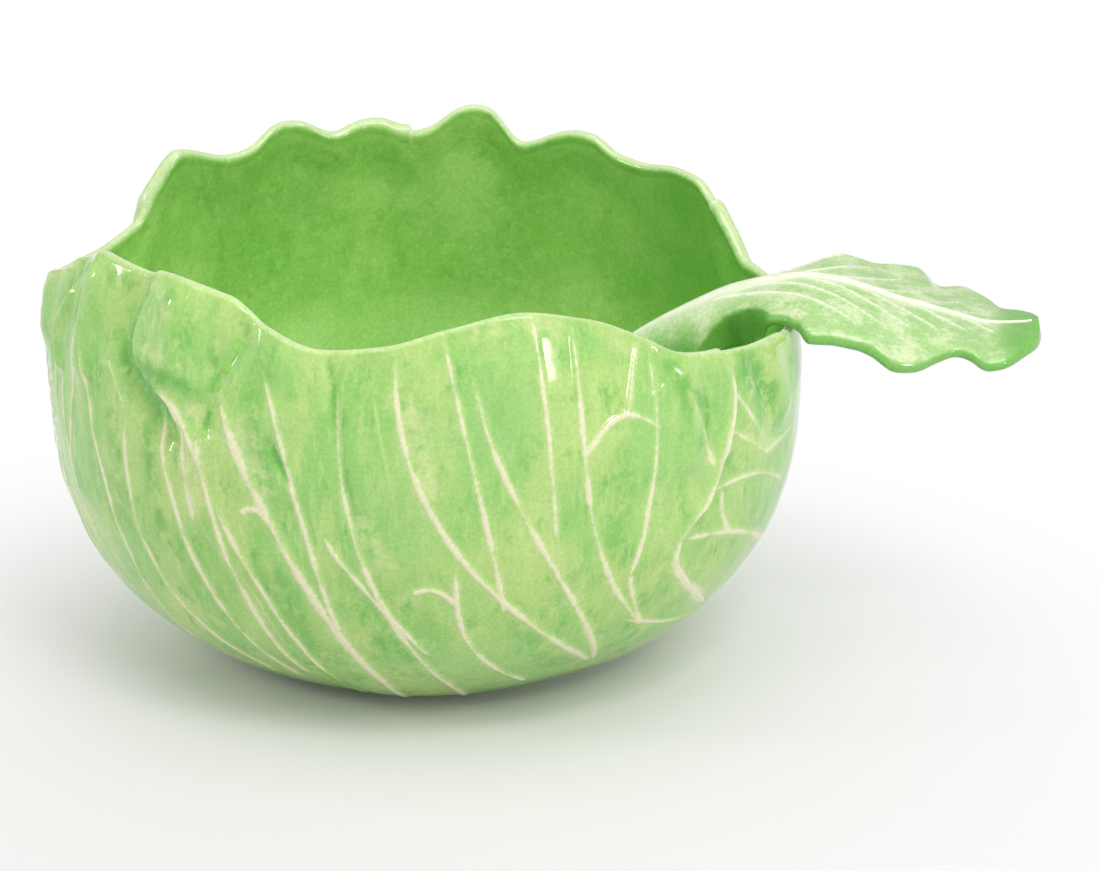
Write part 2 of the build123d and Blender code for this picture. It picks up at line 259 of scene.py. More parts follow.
def spline(points, pieces=6):
    """The route through a few points, rounded into short straight pieces."""
    p = np.array(points, float)
    p = np.vstack([2 * p[0] - p[1], p, 2 * p[-1] - p[-2]])
    out = []
    for i in range(1, len(p) - 2):
        for k in range(pieces):
            t = k / pieces
            out.append(0.5 * (2 * p[i] + (p[i + 1] - p[i - 1]) * t
                              + (2 * p[i - 1] - 5 * p[i] + 4 * p[i + 1] - p[i + 2]) * t**2
                              + (3 * p[i] - p[i - 1] - 3 * p[i + 1] + p[i + 2]) * t**3))
    out.append(p[-2])
    return np.array(out)


def distance(points, route, reach):
    """Distance from each point to a route, up to reach, and how far along it is (0 to 1)."""
    found = np.full(len(points), reach, float)
    along = np.zeros(len(points))
    low, high = route.min(0) - reach, route.max(0) + reach
    near = np.where(np.all((points > low) & (points < high), 1))[0]
    if not len(near):
        return found, along
    here = points[near]
    best, place = np.full(len(near), reach, float), np.zeros(len(near))
    lengths = np.linalg.norm(np.diff(route, axis=0), axis=1)
    starts = np.concatenate([[0], np.cumsum(lengths)])
    for i in range(len(route) - 1):
        a, d = route[i], route[i + 1] - route[i]
        t = np.clip((here - a) @ d / max(d @ d, 1e-9), 0, 1)
        gap = np.linalg.norm(here - a - t[:, None] * d, axis=1)
        closer = gap < best
        best[closer] = gap[closer]
        place[closer] = ((starts[i] + t * lengths[i]) / starts[-1])[closer]
    found[near], along[near] = best, place
    return found, along


def front_veins():
    """Veins between their two ends, and the cream line along the front right leaf's edge."""
    made = []
    for first, last, strength, sweep, arch, head, foot in VEINS:
        route = []
        for t in np.linspace(0, 1, 8):
            route.append((head[0] + (foot[0] - head[0]) * t**sweep,
                          head[1] + (foot[1] - head[1]) * t + arch * math.sin(math.pi * t)))
        made.append((first, last, strength, route))
    seam = [(float(curve(SEAMS["front_right_leaf"], h)) - 0.7, h) for h in range(145, 35, -12)]
    made.append((1.4, 2.4, 1.0, seam))
    return made


def back_veins():
    """Veins of the leaves that face away: each leaf has a fan that rises from its foot."""
    made = []
    for name, count in (("right_leaf", 5), ("back_right_leaf", 6), ("back_leaf", 6),
                        ("back_left_leaf", 6)):
        names = list(SEAMS)
        following = names[(names.index(name) + 1) % len(names)]
        first = 3 if name == "right_leaf" else 0
        for k in range(first, count):
            share = (k + 0.6) / count
            route = []
            for height in (6, 28, 55, 84, 112, 138):
                start = curve(SEAMS[name], height)
                end = curve(SEAMS[following], height)
                end = end + 360 * np.ceil((start - end) / 360)
                sway = 1.4 * math.sin(2.1 * k + height / 23)
                route.append((start + (end - start) * share + sway, height))
            made.append((1.3, 0.7, 0.95, route))
            if k % 2 == 0:
                a, h = route[2]
                made.append((0.9, 0.6, 0.9, [(a, h), (a + 3.2, h + 16), (a + 5.2, h + 34),
                                             (a + 6, h + 50)]))
            else:
                a, h = route[3]
                made.append((0.8, 0.6, 0.9, [(a, h), (a - 3, h + 14), (a - 4.5, h + 30)]))
    return made


def on_wall(route):
    """A route of angles and heights as points on the wall."""
    fine = spline(route)
    return wall(fine[:, 0], fine[:, 1])


def field(points, routes, reach):
    """Smallest distance in half-widths to any vein, and the veins' relief from 0 to 1."""
    nearest = np.full(len(points), 4.0)
    flat = np.ones(len(points))
    for first, last, strength, route in routes:
        gap, along = distance(points, route, reach)
        fade = strength * smoothstep(-0.03, 0.07, along) * smoothstep(-0.05, 0.04, 1 - along)
        half = (first + (last - first) * along) * (0.45 + 0.55 * fade)
        share = gap / half + 1.6 * (1 - fade)
        nearest = np.minimum(nearest, share)
        flat *= 1 - fade * np.exp(-(gap / half) ** 2)
    return nearest, 1 - flat


def bumps(points, routes):
    """Total height of the folds at each point."""
    total = np.zeros(len(points))
    for height, half, route in routes:
        gap = distance(points, route, 3 * half)[0]
        total += height * np.exp(-(gap / half) ** 2)
    return total


VEIN_ROUTES = [(a, b, s, on_wall(route)) for a, b, s, route in front_veins() + back_veins()]
FOLD_ROUTES = [(h, w, on_wall(route)) for h, w, route in FOLDS]
PATCH_ROUTES = [(h, w, on_wall(route)) for h, w, route in PATCHES]
GLAZE_POOL_AND_SHADE_ROUTES = [(h, w, on_wall(route)) for h, w, route in GLAZE_POOLS_AND_SHADE]


def inside_shade_and_light(angle):
    """Painted shade on the inside: darker green, strongest at the back right."""
    return np.exp(-((np.mod(angle - 32 + 180, 360) - 180) / 30) ** 2)


def ripple(x, y, z):
    """Slow unevenness of a hand-pressed slab, about a millimetre."""
    return (0.45 * np.sin(x / 17 + 1.3 * np.sin(z / 29) + 0.7) * np.sin(y / 21 + z / 33)
            + 0.25 * np.sin(x / 9 + z / 13 + 2.0) * np.sin(y / 11 - z / 17))


# ---------------------------------------------------------------- mesh helpers

def mesh_object(name, points, faces, values=None):
    """Smooth-shaded object from points in millimetres, with named values on its points."""
    mesh = bpy.data.meshes.new(name)
    mesh.from_pydata((np.asarray(points) * mm).tolist(), [], faces)
    mesh.update()
    mesh.polygons.foreach_set("use_smooth", [True] * len(mesh.polygons))
    for key, data in (values or {}).items():
        mesh.attributes.new(key, "FLOAT", "POINT").data.foreach_set(
            "value", np.asarray(data, np.float32))
    made = bpy.data.objects.new(name, mesh)
    bpy.context.scene.collection.objects.link(made)
    return made


def grid_faces(rows, columns, first=0, around=False, flip=False):
    """Quads of a grid of points stored row by row."""
    faces = []
    for i in range(rows - 1):
        for j in range(columns if around else columns - 1):
            k = (j + 1) % columns
            quad = [first + i * columns + j, first + i * columns + k,
                    first + (i + 1) * columns + k, first + (i + 1) * columns + j]
            faces.append(quad[::-1] if flip else quad)
    return faces


def finish_piece(made, material, body, node):
    made.data.materials.append(material)
    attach(made, body)
    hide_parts(node)
    return made


# ---------------------------------------------------------------- glaze materials

class Maker:
    """Short ways to add shader nodes and join them."""

    def __init__(self, name):
        self.material = bpy.data.materials.new(name)
        self.material.use_nodes = True
        self.nodes = self.material.node_tree.nodes
        self.links = self.material.node_tree.links
        self.surface = self.nodes["Principled BSDF"]
        place = self.nodes.new("ShaderNodeTexCoord")
        self.place = place.outputs["Object"]

    def put(self, socket, value):
        if isinstance(value, bpy.types.NodeSocket):
            self.links.new(value, socket)
        else:
            socket.default_value = value

    def value(self, name):
        node = self.nodes.new("ShaderNodeAttribute")
        node.attribute_name = name
        return node.outputs["Fac"]

    def maths(self, operation, a, b=0.0):
        node = self.nodes.new("ShaderNodeMath")
        node.operation = operation
        self.put(node.inputs[0], a)
        self.put(node.inputs[1], b)
        return node.outputs[0]

    def stretch(self, vector, x, y, z):
        node = self.nodes.new("ShaderNodeMapping")
        self.links.new(vector, node.inputs["Vector"])
        node.inputs["Scale"].default_value = (x, y, z)
        return node.outputs["Vector"]

    def noise(self, size, detail=2.0, rough=0.5, vector=None):
        """Cloudy noise around 0.5 whose blotches are about size millimetres."""
        node = self.nodes.new("ShaderNodeTexNoise")
        self.links.new(vector or self.place, node.inputs["Vector"])
        node.inputs["Scale"].default_value = 1 / (size * mm)
        node.inputs["Detail"].default_value = detail
        node.inputs["Roughness"].default_value = rough
        return node.outputs["Fac"]

    def ramp(self, source, low, high, out_low=0.0, out_high=1.0):
        node = self.nodes.new("ShaderNodeMapRange")
        node.interpolation_type = "SMOOTHSTEP"
        self.put(node.inputs["Value"], source)
        for key, number in (("From Min", low), ("From Max", high), ("To Min", out_low),
                            ("To Max", out_high)):
            node.inputs[key].default_value = number
        return node.outputs["Result"]

    def mix(self, share, a, b, kind="MIX"):
        node = self.nodes.new("ShaderNodeMix")
        node.data_type = "RGBA"
        node.blend_type = kind
        self.put(node.inputs["Factor"], share)
        for socket, value in ((node.inputs["A"], a), (node.inputs["B"], b)):
            self.put(socket, value if isinstance(value, bpy.types.NodeSocket) else (*value, 1))
        return node.outputs["Result"]

    def bump(self, source, strength, depth):
        node = self.nodes.new("ShaderNodeBump")
        node.inputs["Strength"].default_value = strength
        node.inputs["Distance"].default_value = depth * mm
        self.put(node.inputs["Height"], source)
        self.links.new(node.outputs["Normal"], self.surface.inputs["Normal"])

    def glaze(self, colour, rough=0.13):
        self.put(self.surface.inputs["Base Color"], colour)
        self.put(self.surface.inputs["Roughness"], rough)
        self.put(self.surface.inputs["IOR"], 1.5)
        return self.material


GREEN = (0.285, 0.565, 0.143)
YELLOW_GREEN = (0.475, 0.650, 0.205)
DEEP_GREEN = (0.120, 0.430, 0.065)
GREY_GREEN = (0.335, 0.595, 0.185)
CREAM = (0.780, 0.760, 0.500)
INSIDE_GREEN = (0.285, 0.595, 0.120)
INSIDE_DEEP = (0.155, 0.465, 0.060)
INSIDE_LIGHT = (0.440, 0.715, 0.200)


def inside_colour(m):
    """Deeper mottled green of the inside, with painted shade at the back right and painted light on the
    floor.
    """
    colour = m.mix(m.ramp(m.noise(30, 3, 0.6), 0.38, 0.64), INSIDE_GREEN, INSIDE_LIGHT)
    colour = m.mix(m.ramp(m.noise(13, 4, 0.6), 0.5, 0.75, 0, 0.6), colour, INSIDE_DEEP)
    colour = m.mix(m.ramp(m.noise(60, 2, 0.5), 0.45, 0.65, 0, 0.55), colour, INSIDE_DEEP)
    colour = m.mix(m.ramp(m.noise(5, 3, 0.6), 0.5, 0.72, 0, 0.4), colour, (0.45, 0.72, 0.22))
    # Painted light: paler where the value drops below zero, on the floor of the bowl.
    colour = m.mix(m.ramp(m.value("inside_shade_and_light"), 0.0, -1.0, 0, 0.7), colour, (0.460, 0.760, 0.240))
    # Painted shade: deeper green at the back right of the inside.
    return m.mix(m.ramp(m.value("inside_shade_and_light"), 0.0, 1.0, 0, 0.75), colour, (0.135, 0.430, 0.052))


def leaf_glaze():
    """Light green glaze, yellower in places, over cream slip on the veins and the lip."""
    m = Maker("leaf_glaze")
    streaks = m.noise(3.2, 4, 0.6, m.stretch(m.place, 1, 1, 0.2))
    broad = m.noise(9, 3, 0.55, m.stretch(m.place, 1, 1, 0.3))
    clouds = m.noise(26, 2, 0.5, m.stretch(m.place, 1, 1, 0.6))
    colour = m.mix(m.ramp(clouds, 0.40, 0.66, 0, 0.8), GREEN, YELLOW_GREEN)
    colour = m.mix(m.ramp(broad, 0.50, 0.70, 0, 0.7), colour, YELLOW_GREEN)
    colour = m.mix(m.ramp(streaks, 0.50, 0.68, 0, 0.45), colour, (0.52, 0.70, 0.27))
    colour = m.mix(m.ramp(m.noise(8, 4, 0.65, m.stretch(m.place, 1, 1, 0.55)), 0.52, 0.72, 0, 0.65),
                   colour, DEEP_GREEN)
    colour = m.mix(m.ramp(m.noise(45, 1, 0.5), 0.5, 0.68, 0, 0.5), colour, GREY_GREEN)
    patch = m.maths("MULTIPLY", m.value("patch"), m.ramp(m.noise(8, 3, 0.6), 0.34, 0.58))
    colour = m.mix(m.ramp(patch, 0.1, 0.9, 0, 0.6), colour, (0.62, 0.69, 0.32))
    # Painted shade, partly pooled glaze: deep green along creases, grooves and beside raised leaf edges.
    pool_and_shade = m.maths("MULTIPLY", m.value("pool_and_shade"), m.ramp(m.noise(6, 3, 0.6), 0.30, 0.56))
    colour = m.mix(m.ramp(pool_and_shade, 0.05, 0.9, 0, 0.85), colour, (0.115, 0.420, 0.060))
    wobble = m.maths("MULTIPLY", m.maths("SUBTRACT", m.noise(2.4, 3, 0.6), 0.5), 1.3)
    fade = m.maths("MULTIPLY", m.ramp(m.noise(16, 2, 0.5), 0.36, 0.60, 1, 0), 0.75)
    line = m.maths("ADD", m.maths("ADD", m.value("vein"), wobble), fade)
    colour = m.mix(m.ramp(line, 3.4, 1.0, 0, 0.5), colour, (0.52, 0.70, 0.27))
    colour = m.mix(m.ramp(line, 1.6, 0.5, 0, 0.95), colour, CREAM)
    edge = m.maths("ADD", m.value("below_rim"), m.maths("MULTIPLY", wobble, 1.2))
    colour = m.mix(m.ramp(edge, 9.0, 2.5, 0, 0.3), colour, YELLOW_GREEN)
    colour = m.mix(m.value("inner_side"), colour, inside_colour(m))
    colour = m.mix(m.ramp(edge, 2.2, 0.4, 0, 0.75), colour, (0.66, 0.78, 0.44))
    # Painted highlight: paler along the rolled free edges of the leaves that lie on top.
    colour = m.mix(m.ramp(m.value("free_edge"), 2.6, 0.8, 0, 0.6), colour, (0.60, 0.74, 0.42))
    speck = m.ramp(m.noise(1.4, 2, 0.6), 0.3, 0.7, 0.93, 1.05)
    colour = m.mix(1.0, colour, speck, "MULTIPLY")
    m.bump(m.noise(12, 2, 0.5), 0.35, 0.6)
    return m.glaze(colour, 0.08)


def inside_glaze():
    """The inside's glaze, paling to cream on the lip."""
    m = Maker("inside_glaze")
    wobble = m.maths("MULTIPLY", m.maths("SUBTRACT", m.noise(6, 3, 0.6), 0.5), 3.0)
    edge = m.maths("ADD", m.value("below_rim"), wobble)
    colour = m.mix(m.ramp(edge, 9.0, 1.5, 0, 0.25), inside_colour(m), (0.40, 0.60, 0.18))
    speck = m.ramp(m.noise(1.8, 2, 0.6), 0.3, 0.7, 0.92, 1.05)
    colour = m.mix(1.0, colour, speck, "MULTIPLY")
    m.bump(m.noise(16, 2, 0.5), 0.3, 0.6)
    return m.glaze(colour, 0.1)


def ladle_glaze():
    """Pale green leaf glaze with near-white veins; greener at the tip, with painted shade on the edges,
    underneath, down the stem's sides and in the fold under the near edge.
    """
    m = Maker("ladle_glaze")
    colour = m.mix(m.ramp(m.noise(12, 3, 0.6), 0.4, 0.66), (0.38, 0.61, 0.225), (0.62, 0.74, 0.42))
    colour = m.mix(m.ramp(m.noise(5, 3, 0.6), 0.5, 0.75, 0, 0.5), colour, (0.24, 0.54, 0.13))
    colour = m.mix(m.ramp(m.value("pale"), 0.0, 1.0, 0, 0.75), colour, (0.66, 0.78, 0.52))
    # Painted shade on the ladle's edges, underside, stem sides and near fold, plus the tip's own deeper
    # green.
    deep_green_and_shade = m.maths("ADD", m.value("deep_green_and_shade"), m.maths("MULTIPLY", m.noise(9, 2, 0.5), 0.3))
    colour = m.mix(m.ramp(deep_green_and_shade, 0.25, 1.05, 0, 0.9), colour, (0.150, 0.440, 0.070))
    wobble = m.maths("MULTIPLY", m.maths("SUBTRACT", m.noise(2.6, 3, 0.6), 0.5), 1.2)
    line = m.maths("ADD", m.value("vein"), wobble)
    colour = m.mix(m.ramp(line, 3.4, 1.2, 0, 0.4), colour, (0.60, 0.76, 0.42))
    colour = m.mix(m.ramp(line, 1.5, 0.6, 0, 0.85), colour, (0.86, 0.86, 0.68))
    speck = m.ramp(m.noise(1.5, 2, 0.6), 0.3, 0.7, 0.92, 1.05)
    colour = m.mix(1.0, colour, speck, "MULTIPLY")
    m.bump(m.noise(8, 2, 0.5), 0.3, 0.4)
    return m.glaze(colour, 0.13)


def rib_glaze():
    """Near-white slip on the ladle's rib."""
    m = Maker("rib_glaze")
    colour = m.mix(m.ramp(m.noise(6, 3, 0.6), 0.35, 0.7), (0.86, 0.87, 0.72), (0.74, 0.80, 0.56))
    colour = m.mix(m.ramp(m.value("rib_edge"), 0.55, 1.0, 0, 0.7), colour, (0.62, 0.76, 0.45))
    return m.glaze(colour, 0.14)


def foot_clay():
    """Bare pale clay of the foot ring."""
    m = Maker("foot_clay")
    colour = m.mix(m.ramp(m.noise(4, 4, 0.6), 0.3, 0.7), (0.66, 0.60, 0.48), (0.78, 0.72, 0.60))
    m.bump(m.noise(0.8, 2, 0.5), 0.3, 0.2)
    return m.glaze(colour, 0.75)


LEAF_GLAZE = leaf_glaze()
INSIDE_GLAZE = inside_glaze()
LADLE_GLAZE = ladle_glaze()
RIB_GLAZE = rib_glaze()
FOOT_CLAY = foot_clay()


# ---------------------------------------------------------------- leaves round the pot

def leaf(name):
    """One slab: outer face with veins and folds, over the lip, a little way down inside,
    and a plain back buried in the wall."""
    first_lift, last_lift, step = LEAVES[name]
    first_on_top, last_on_top = first_lift is not None, last_lift is not None
    names = list(SEAMS)
    following = names[(names.index(name) + 1) % len(names)]

    # Columns run from the first seam to the last; a covered edge runs on underneath.
    tuck = 5.0
    belly = 152.0
    start = curve(SEAMS[name], 100.0)
    end = curve(SEAMS[following], 100.0)
    turns = 360 * math.ceil((start - end) / 360)
    width = math.radians(end + turns - start) * belly
    fine = np.array([0, 0.25, 0.6, 1.1, 1.8, 2.6, 3.5])
    inner = np.arange(3.5 + step, width - 3.5 - 0.5 * step, step)
    across = np.concatenate([fine, inner, width - fine[::-1]])
    columns = len(across)

    # Rows: up the outside, round the lip, then a little way down the inside.
    climb = np.linspace(0, 1, round(205 / step))
    turn = np.radians(np.linspace(12, 180, 12))
    inside = np.array([0.8, 1.9, 3.2, 4.8])
    inside_offset = -2 * LIP_RADIUS + np.array([0.0, -0.03, 0.1, 0.6])
    rows = len(climb) + len(turn) + len(inside)

    def angles(height):
        a = curve(SEAMS[name], height)
        b = curve(SEAMS[following], height) + turns
        margin = np.degrees(tuck / belly)
        a = a - (0 if first_on_top else margin)
        b = b + (0 if last_on_top else margin)
        return a + (b - a) * across / width

    points = []
    base = FOOT_HEIGHT + 0.6
    for share in climb:
        height = np.full(columns, 100.0)
        for _ in range(2):
            angle = angles(height)
            height = base + share * (rim(angle) - LIP_RADIUS - base)
        points.append((angle, height))
    grid_angle = np.array([p[0] for p in points])
    grid_height = np.array([p[1] for p in points])

    # Distance from the nearer free edge, in millimetres along the wall.
    free = np.full(grid_angle.shape, 99.0)
    radius = curve(WALL_PROFILE, grid_height)
    if first_on_top:
        free = np.minimum(free, np.radians(grid_angle - grid_angle[:, :1]) * radius)
    if last_on_top:
        free = np.minimum(free, np.radians(grid_angle[:, -1:] - grid_angle) * radius)
    roll = 1.9
    edge = np.sqrt(np.clip(1 - (1 - np.clip(free / roll, 0, 1)) ** 2, 0, 1))
    stand = np.full(grid_angle.shape, 0.3)
    if first_on_top:
        gap = np.radians(grid_angle - grid_angle[:, :1]) * radius
        stand = stand + curve(first_lift, grid_height) * np.exp(-(gap / 26) ** 1.3)
    if last_on_top:
        gap = np.radians(grid_angle[:, -1:] - grid_angle) * radius
        stand = stand + curve(last_lift, grid_height) * np.exp(-(gap / 26) ** 1.3)
    offset = stand * edge - 0.7 * (1 - edge)

    flat = wall(grid_angle.ravel(), grid_height.ravel())
    near_vein, relief = field(flat, VEIN_ROUTES, 8.0)
    folds = bumps(flat, FOLD_ROUTES)
    patch = bumps(flat, PATCH_ROUTES)
    # Deep green pools: partly glaze in hollows, partly painted shade in creases and beside raised edges.
    pool_and_shade = bumps(flat, GLAZE_POOL_AND_SHADE_ROUTES)
    top_fade = smoothstep(0.0, 10.0, (rim(grid_angle) - grid_height).ravel())
    offset = offset.ravel() + edge.ravel() * (
        0.6 * relief * (0.3 + 0.7 * top_fade) + folds * (0.5 + 0.5 * top_fade)
        + ripple(*flat.T))
    offset = offset.reshape(grid_angle.shape)

    outer = wall(grid_angle, grid_height, offset)
    top_angle, top_height, top_offset = grid_angle[-1], grid_height[-1], offset[-1]
    sheets = [outer]
    for a in turn:
        shape = LIP_RADIUS + 0.5 * stand[-1] * edge[-1]
        rise = shape * math.sin(a)
        sideways = top_offset * (1 + math.cos(a)) / 2 - LIP_RADIUS * (1 - math.cos(a))
        sheets.append(wall(top_angle, top_height, sideways, rise)[None])
    for drop, sideways in zip(inside, inside_offset):
        sheets.append(wall(top_angle, top_height - drop, sideways)[None])
    front = np.concatenate(sheets)
    below = np.concatenate([
        (rim(grid_angle) - grid_height).ravel(),
        np.repeat(np.abs(np.degrees(turn) - 90) / 36, columns),
        np.repeat(2.5 + inside, columns)])
    extra = rows - len(climb)
    inner_side = np.concatenate([
        np.zeros(grid_angle.size),
        np.repeat(smoothstep(70, 150, np.degrees(turn)), columns),
        np.ones(len(inside) * columns)])

    # The back: the same rows with fewer columns, inside the thickness of the wall.
    kept = np.unique(np.round(np.linspace(0, columns - 1, max(6, columns // 9))).astype(int))
    depths = np.full((rows, len(kept)), -1.6)
    depths[:len(climb)] = np.minimum(-1.6, offset[:, kept] - 1.0)
    back_height = np.concatenate([
        grid_height[:, kept],
        np.repeat(grid_height[-1:, kept], len(turn), 0),
        grid_height[-1:, kept] - np.array(inside)[:, None]])
    back_height = back_height - 0.4 * smoothstep(0.9, 1.0, np.linspace(0, 1, rows))[:, None]
    depths[len(climb):] = np.linspace(-1.7, -3.0, extra)[:, None]
    back_angle = np.concatenate([grid_angle[:, kept], np.repeat(grid_angle[-1:, kept], extra, 0)])
    back = wall(back_angle, back_height, depths)

    cloud = np.concatenate([front.reshape(-1, 3), back.reshape(-1, 3)])
    faces = grid_faces(rows, columns)
    shift = rows * columns
    few = len(kept)
    faces += grid_faces(rows, few, shift, flip=True)
    for j in range(few - 1):
        low = list(range(kept[j], kept[j + 1] + 1))
        faces.append(low[::-1] + [shift + j, shift + j + 1])
        high = [(rows - 1) * columns + c for c in low]
        faces.append(high + [shift + (rows - 1) * few + j + 1, shift + (rows - 1) * few + j])
    for i in range(rows - 1):
        a, b = i * columns, (i + 1) * columns
        c, d = shift + i * few, shift + (i + 1) * few
        faces.append([a, b, d, c])
        faces.append([a + columns - 1, c + few - 1, d + few - 1, b + columns - 1])

    def spread(values, fill):
        more = np.tile(values.reshape(grid_angle.shape)[-1], extra)
        return np.concatenate([values.ravel(), more, np.full(len(cloud) - rows * columns, fill)])

    values = {
        "vein": spread(near_vein, 4.0),
        "patch": spread(patch, 0.0),
        "pool_and_shade": spread(pool_and_shade, 0.0),
        "below_rim": np.concatenate([below, np.full(len(cloud) - len(below), 60.0)]),
        "free_edge": spread(free, 99.0),
        "inner_side": np.concatenate([inner_side, np.ones(len(cloud) - len(inner_side))]),
        "inside_shade_and_light": spread(inside_shade_and_light(grid_angle), 0.0),
    }
    made = mesh_object(name + "_skin", cloud, faces, values)
    return finish_piece(made, LEAF_GLAZE, "tureen", name)


for leaf_name in SEAMS:
    leaf(leaf_name)


# ---------------------------------------------------------------- liner and foot ring

def liner():
    """The smooth inside of the pot, its lip, and a plain back under the leaves."""
    columns = 480
    angle = np.arange(columns) * 360 / columns
    top = rim(angle)
    rings, below = [], []

    def add(points, depth):
        rings.append(points)
        below.append(np.full(columns, depth) if np.isscalar(depth) else depth)

    def disc(radius, height):
        turn = np.radians(angle)
        return np.stack([radius * np.cos(turn), radius * np.sin(turn),
                         np.full(columns, float(height))], -1)

    add(disc(20, FOOT_HEIGHT), 99)
    add(disc(90, FOOT_HEIGHT), 99)
    for share in (0.05, 0.12, 0.25, 0.4, 0.55, 0.7, 0.85, 0.95):
        outside = -4.6 + 1.2 * smoothstep(0.8, 0.97, share)
        add(wall(angle, FOOT_HEIGHT + share * (top - LIP_RADIUS - FOOT_HEIGHT), outside), 60)
    for a in np.radians(np.linspace(10, 180, 8)):
        add(wall(angle, top - LIP_RADIUS - 0.8, -3.75 + 0.6 * math.cos(a), 0.6 * math.sin(a)), 0.5)
    thickness = [(0, 4.2), (1.0, 4.42), (3.0, 4.72), (6, 5.1), (12, 5.7), (35, 7.0), (200, 7.0)]
    crest = top - 160
    for share in np.linspace(0.992, 0.12, 118):
        height = FOOT_HEIGHT + share * (top - LIP_RADIUS - FOOT_HEIGHT)
        depth = top - LIP_RADIUS - height
        thick = curve(thickness, depth) + curve([(0, 1.0), (30, 0)], height)
        plain = wall(angle, height, -thick)
        wave = 0.24 * np.clip(crest, -20, 20) * np.exp(-depth / 45) + ripple(*plain.T)
        wave = wave * smoothstep(4, 22, depth) * smoothstep(0, 60, height)
        add(wall(angle, height, -thick + wave), depth + 1.5)
    # Round the corner on to the floor, then in to the middle.
    corner = rings[-1]
    corner_radius = np.hypot(corner[:, 0], corner[:, 1])
    for t in np.linspace(0, 1, 16)[1:]:
        bend = t * math.pi / 2
        radius = corner_radius + (78 - corner_radius) * math.sin(bend)
        height = FLOOR_TOP + (corner[:, 2] - FLOOR_TOP) * (1 - math.sin(bend)) ** 0.9
        turn = np.radians(angle)
        add(np.stack([radius * np.cos(turn), radius * np.sin(turn), height], -1), 99)
    for radius in (66, 52, 38, 24, 10, 2):
        add(disc(radius, FLOOR_TOP), 99)
    cloud = np.concatenate(rings)
    faces = grid_faces(len(rings), columns, around=True)
    faces.append(list(range(columns))[::-1])
    last = (len(rings) - 1) * columns
    faces.append(list(range(last, last + columns)))
    values = {"below_rim": np.concatenate(below),
              # Painted light: the value drops below zero towards the floor of the bowl, which paints it
              # paler.
              "inside_shade_and_light": np.tile(inside_shade_and_light(angle), len(rings)) - smoothstep(105, 60, cloud[:, 2])}
    made = mesh_object("bowl_inside", cloud, faces, values)
    return finish_piece(made, INSIDE_GLAZE, "tureen", "bowl_liner")


def foot():
    """Turned foot ring with rounded edges."""
    profile = [(76, 4.1), (76, 1.4), (76.6, 0.5), (77.6, 0), (86.4, 0), (87.4, 0.5), (88, 1.4),
               (88, 4.1)]
    columns = 180
    turn = np.arange(columns) * 2 * math.pi / columns
    rings = [np.stack([r * np.cos(turn), r * np.sin(turn), np.full(columns, z)], -1)
             for r, z in profile + profile[:1]]
    cloud = np.concatenate(rings[:-1])
    count = len(profile)
    faces = []
    for i in range(count):
        for j in range(columns):
            k = (j + 1) % columns
            n = (i + 1) % count
            faces.append([i * columns + j, n * columns + j, n * columns + k, i * columns + k])
    made = mesh_object("foot_ring_clay", cloud, faces)
    return finish_piece(made, FOOT_CLAY, "tureen", "foot_ring")


liner()
foot()

# ---------------------------------------------------------------- ladle

RIDGE = [
    (27.5, 5.1, 28), (29, 4.9, 37), (33, 4.6, 50), (38, 4.2, 64), (45.5, 3.6, 79),
    (56, 2.7, 93.5), (70, 1.6, 106.5), (84, 0.5, 117), (96, -0.8, 124.5), (110, -2.5, 132),
    (124, -4.1, 138.3), (141, -6.2, 143), (153, -8, 144.8), (164, -9.2, 143.9),
    (176, -10.6, 141), (188, -12, 137), (200, -13.4, 134), (212, -15, 131),
    (227, -17, 128), (240, -18.6, 128.8), (246, -19.3, 130.4),
]
FAR_LENGTH = [(27, 11), (45, 13), (70, 17), (100, 21), (118, 22), (132, 18), (145, 18),
              (159, 27), (170, 41), (183, 46), (198, 53), (208, 46), (218, 46), (226, 41),
              (232, 27), (239, 22), (243, 15), (246, 4)]
FAR_SLOPE = [(27, 66), (100, 64), (118, 50), (132, 30), (148, 12), (160, 3), (246, 3)]
NEAR_LENGTH = [(27, 11), (45, 13), (70, 18), (95, 23), (108, 27), (119, 31.5), (128, 32.5),
               (134, 32), (139, 32), (144, 34), (150, 40), (157, 48), (168, 46),
               (178, 45), (190, 48), (200, 45),
               (208, 37), (215, 33), (223, 36), (231, 34), (238, 27), (243, 17), (246, 4)]
NEAR_SLOPE = [(27, 66), (100, 64), (118, 52), (130, 30), (138, 14), (150, 13), (246, 13)]
# Up and down waves of the blade's edges, and how far the edges turn down.
NEAR_WAVE = [(27, 0), (130, 0), (148, 0), (157, -1.5), (166, -1.6), (175, -1.4), (184, -0.8),
             (193, -3.4), (203, -2.4), (213, 1.6), (220, 3.0), (226, 0.6), (238, 1.5), (246, 0)]
FAR_WAVE = [(27, 0), (150, 0), (165, 1.5), (180, 0), (188, 1.5), (198, 1.8), (208, -2.0), (218, 1),
            (232, -1), (246, 0)]
# Where the near side folds under itself beside the stem: the share of its width that stays
# on top, and how steeply the rest turns under.
NEAR_FOLD = [(27, 1), (98, 1), (108, 0.75), (114, 0.58), (120, 0.48), (128, 0.50), (134, 0.66),
             (140, 0.92), (144, 1), (246, 1)]
NEAR_TUCK = [(27, 0), (98, 0), (108, 25), (116, 55), (128, 60), (134, 40), (140, 5), (146, 0),
             (246, 0)]
NEAR_CURL = [(27, 5), (135, 5), (146, 25), (152, 62), (240, 62), (246, 20)]
FAR_CURL = [(27, 5), (145, 5), (160, 35), (240, 45), (246, 20)]
LADLE_THICKNESS = 4.0


